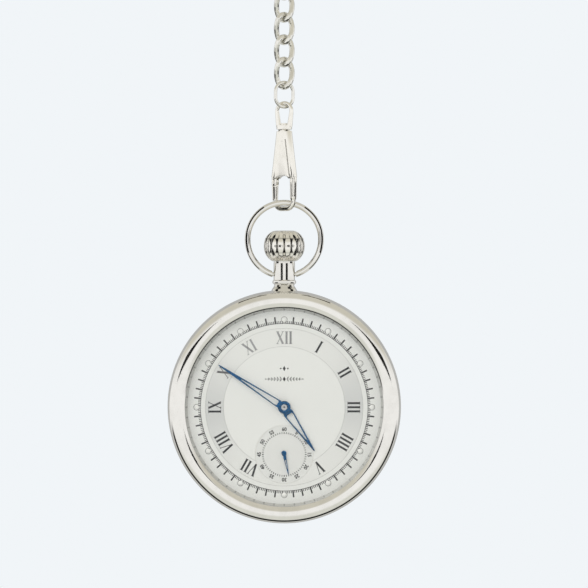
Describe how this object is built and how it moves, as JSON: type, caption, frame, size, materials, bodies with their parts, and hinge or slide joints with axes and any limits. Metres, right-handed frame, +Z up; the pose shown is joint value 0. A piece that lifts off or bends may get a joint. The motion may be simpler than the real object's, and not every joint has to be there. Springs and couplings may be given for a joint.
{
  "type": "pocket watch",
  "caption": "Open-face pocket watch with small seconds, hanging by its bow from a swivel clasp and curb chain, with a geared movement inside.",
  "frame": {"origin": "centre of the hanging ring at the chain's top end", "axes": "+Z up along the chain and the winding stem; the dial faces -Y, so its 12 is towards +Z and its 3 towards +X"},
  "size_m": [0.048, 0.0109, 0.1239],
  "materials": {
    "chain": "polished rhodium-toned plate",
    "clasp": "polished nickel-toned plate",
    "spring": "tempered spring steel",
    "case": "mirror-polished case",
    "crown": "polished, fluted",
    "crystal": "clear, domed",
    "reflector": "satin",
    "dial": "silvered, sunk chapters and fine engine turning",
    "dots": "pearl white",
    "blued": "polished blued steel",
    "brass": "gilt",
    "plate": "gilt, grained",
    "bridge": "rhodium-toned, striped",
    "steel": "fine ground",
    "ruby": "polished synthetic ruby"
  },
  "bodies": {
    "hang_ring": {"hang_ring": "chain"},
    "chain_link_1": {"chain_link_1": "chain"},
    "chain_link_2": {"chain_link_2": "chain"},
    "chain_link_3": {"chain_link_3": "chain"},
    "chain_link_4": {"chain_link_4": "chain"},
    "chain_link_5": {"chain_link_5": "chain"},
    "jump_ring": {"jump_ring": "chain"},
    "clasp_bail": {"clasp_bail": "clasp"},
    "clasp": {"clasp_body": "clasp", "clasp_rivet": "clasp", "gate_pin": "clasp", "gate_spring": "spring"},
    "clasp_gate": {"clasp_gate": "clasp"},
    "bow": {"bow": "case"},
    "case": {"case_middle": "case", "pendant": "case", "dial": "dial", "seconds_dial": "dial", "hour_dots": "dots", "mainplate": "plate", "movement_ring": "bridge", "case_screws": "steel", "pallet_bridge": "bridge", "balance_cock": "bridge", "barrel_bridge": "bridge", "train_bridge": "bridge", "bridge_screws": "blued", "jewels": "ruby", "crown_wheel_core": "steel", "click_spring": "spring"},
    "bezel": {"bezel": "case", "crystal": "crystal", "dial_ring": "reflector"},
    "case_back": {"case_back": "case"},
    "winding_pinions": {"winding_pinion": "steel", "sliding_pinion": "steel"},
    "crown": {"crown": "crown", "winding_stem": "steel"},
    "crown_wheel": {"crown_wheel": "steel"},
    "ratchet": {"ratchet_wheel": "steel", "ratchet_screw": "blued", "barrel_arbor": "steel"},
    "click": {"click": "steel"},
    "barrel": {"barrel": "brass", "barrel_lid": "brass", "mainspring": "spring"},
    "centre": {"centre_wheel": "brass", "cannon_pinion": "steel", "minute_hand": "blued"},
    "hour": {"hour_wheel": "brass", "hour_hand": "blued"},
    "minute_wheel": {"minute_wheel": "brass"},
    "third_wheel": {"third_wheel": "brass"},
    "fourth": {"fourth_wheel": "brass", "seconds_hand": "blued"},
    "escape_wheel": {"escape_wheel": "steel"},
    "pallet_fork": {"pallet_fork": "steel"},
    "balance": {"balance_wheel": "brass", "hairspring": "blued"},
    "regulator": {"regulator": "steel"}
  },
  "joints": [
    {"name": "link_1_swing", "type": "hinge", "parent": "hang_ring", "child": "chain_link_1", "pos_m": [0, 0, -0.0053], "axis": [0.682, -0.7314, 0], "range_deg": [-20, 20]},
    {"name": "link_2_swing", "type": "hinge", "parent": "chain_link_1", "child": "chain_link_2", "pos_m": [0, 0, -0.00976], "axis": [0.7295, -0.6839, 0], "range_deg": [-20, 20]},
    {"name": "link_3_swing", "type": "hinge", "parent": "chain_link_2", "child": "chain_link_3", "pos_m": [0, 0, -0.01436], "axis": [0.7295, -0.6839, 0], "range_deg": [-20, 20]},
    {"name": "link_4_swing", "type": "hinge", "parent": "chain_link_3", "child": "chain_link_4", "pos_m": [0, 0, -0.01896], "axis": [0.7295, -0.6839, 0], "range_deg": [-20, 20]},
    {"name": "link_5_swing", "type": "hinge", "parent": "chain_link_4", "child": "chain_link_5", "pos_m": [0, 0, -0.02356], "axis": [0.7295, -0.6839, 0], "range_deg": [-20, 20]},
    {"name": "jump_ring_swing", "type": "hinge", "parent": "chain_link_5", "child": "jump_ring", "pos_m": [0, 0, -0.02816], "axis": [0.7295, -0.6839, 0], "range_deg": [-20, 20]},
    {"name": "bail_swing", "type": "hinge", "parent": "jump_ring", "child": "clasp_bail", "pos_m": [0, 0, -0.03223], "axis": [0.9063, 0.4226, 0], "range_deg": [-20, 20]},
    {"name": "clasp_swivel", "type": "hinge", "parent": "clasp_bail", "child": "clasp", "pos_m": [0, 0, -0.03638], "axis": [0, 0, 1], "continuous": true},
    {"name": "gate_hinge", "type": "hinge", "parent": "clasp", "child": "clasp_gate", "pos_m": [-0.00186, 0.00135, -0.04748], "axis": [-0.5878, -0.809, 0], "range_deg": [0, 30], "stiffness_Nm_per_rad": 0.002, "springref_deg": -11.46, "deforming": ["gate_spring"]},
    {"name": "bow_swing", "type": "hinge", "parent": "clasp", "child": "bow", "pos_m": [0, 0, -0.05315], "axis": [0.809, -0.5878, 0], "range_deg": [-15, 15]},
    {"name": "case_hinge", "type": "hinge", "parent": "bow", "child": "case", "pos_m": [0, 0, -0.06662], "axis": [1, 0, 0], "range_deg": [-90, 90]},
    {"name": "bezel_pull", "type": "slide", "parent": "case", "child": "bezel", "axis": [0, -1, 0], "range_m": [0, 0.012]},
    {"name": "back_pull", "type": "slide", "parent": "case", "child": "case_back", "axis": [0, 1, 0], "range_m": [0, 0.012]},
    {"name": "crown_turn", "type": "hinge", "parent": "case", "child": "winding_pinions", "pos_m": [0, 0, -0.07988], "axis": [0, 0, 1], "continuous": true},
    {"name": "crown_pull", "type": "slide", "parent": "winding_pinions", "child": "crown", "axis": [0, 0, 1], "range_m": [0, 0.0012]},
    {"name": "crown_wheel_turn", "type": "hinge", "parent": "case", "child": "crown_wheel", "pos_m": [0, 0.00235, -0.08324], "axis": [0, 1, 0], "continuous": true},
    {"name": "ratchet_turn", "type": "hinge", "parent": "case", "child": "ratchet", "pos_m": [-0.007, 0.00235, -0.08788], "axis": [0, 1, 0], "continuous": true},
    {"name": "click_lift", "type": "hinge", "parent": "case", "child": "click", "pos_m": [-0.0135, 0.0023, -0.08413], "axis": [0, -1, 0], "range_deg": [0, 8], "stiffness_Nm_per_rad": 0.0001, "springref_deg": -11.46, "deforming": ["click_spring"]},
    {"name": "minute_turn", "type": "hinge", "parent": "case", "child": "centre", "pos_m": [0, -0.00095, -0.09388], "axis": [0, 1, 0], "continuous": true},
    {"name": "hour_turn", "type": "hinge", "parent": "case", "child": "hour", "pos_m": [0, -0.0027, -0.09388], "axis": [0, 1, 0], "continuous": true},
    {"name": "minute_wheel_turn", "type": "hinge", "parent": "case", "child": "minute_wheel", "pos_m": [0.0021, -0.0021, -0.09024], "axis": [0, 1, 0], "continuous": true},
    {"name": "third_turn", "type": "hinge", "parent": "case", "child": "third_wheel", "pos_m": [0.00317, 0.0005, -0.09932], "axis": [0, 1, 0], "continuous": true},
    {"name": "seconds_turn", "type": "hinge", "parent": "case", "child": "fourth", "pos_m": [0, -0.0004, -0.10353], "axis": [0, 1, 0], "continuous": true},
    {"name": "escape_turn", "type": "hinge", "parent": "case", "child": "escape_wheel", "pos_m": [-0.00472, 0.0001, -0.10136], "axis": [0, 1, 0], "continuous": true},
    {"name": "barrel_turn", "type": "hinge", "parent": "case", "child": "barrel", "pos_m": [-0.007, 0.0001, -0.08788], "axis": [0, 1, 0], "continuous": true},
    {"name": "pallet_rock", "type": "hinge", "parent": "case", "child": "pallet_fork", "pos_m": [-0.00772, 0.0003, -0.10115], "axis": [0, 1, 0], "range_deg": [-5, 5]},
    {"name": "balance_swing", "type": "hinge", "parent": "case", "child": "balance", "pos_m": [-0.0105, 0.0011, -0.10088], "axis": [0, 1, 0], "range_deg": [-150, 150], "stiffness_Nm_per_rad": 0.0000004, "deforming": ["hairspring"]},
    {"name": "regulator_turn", "type": "hinge", "parent": "case", "child": "regulator", "pos_m": [-0.0105, 0.0027, -0.10088], "axis": [0, 1, 0], "range_deg": [-12, 12]}
  ],
  "couplings": [
    {"joint": "hour_turn", "follows": "minute_turn", "ratio": 0.083333},
    {"joint": "minute_wheel_turn", "follows": "minute_turn", "ratio": -0.33333},
    {"joint": "third_turn", "follows": "minute_turn", "ratio": -8},
    {"joint": "seconds_turn", "follows": "minute_turn", "ratio": 60},
    {"joint": "escape_turn", "follows": "minute_turn", "ratio": -600},
    {"joint": "barrel_turn", "follows": "minute_turn", "ratio": -0.125},
    {"joint": "crown_wheel_turn", "follows": "crown_turn", "ratio": -0.7},
    {"joint": "ratchet_turn", "follows": "crown_turn", "ratio": 0.38889}
  ]
}
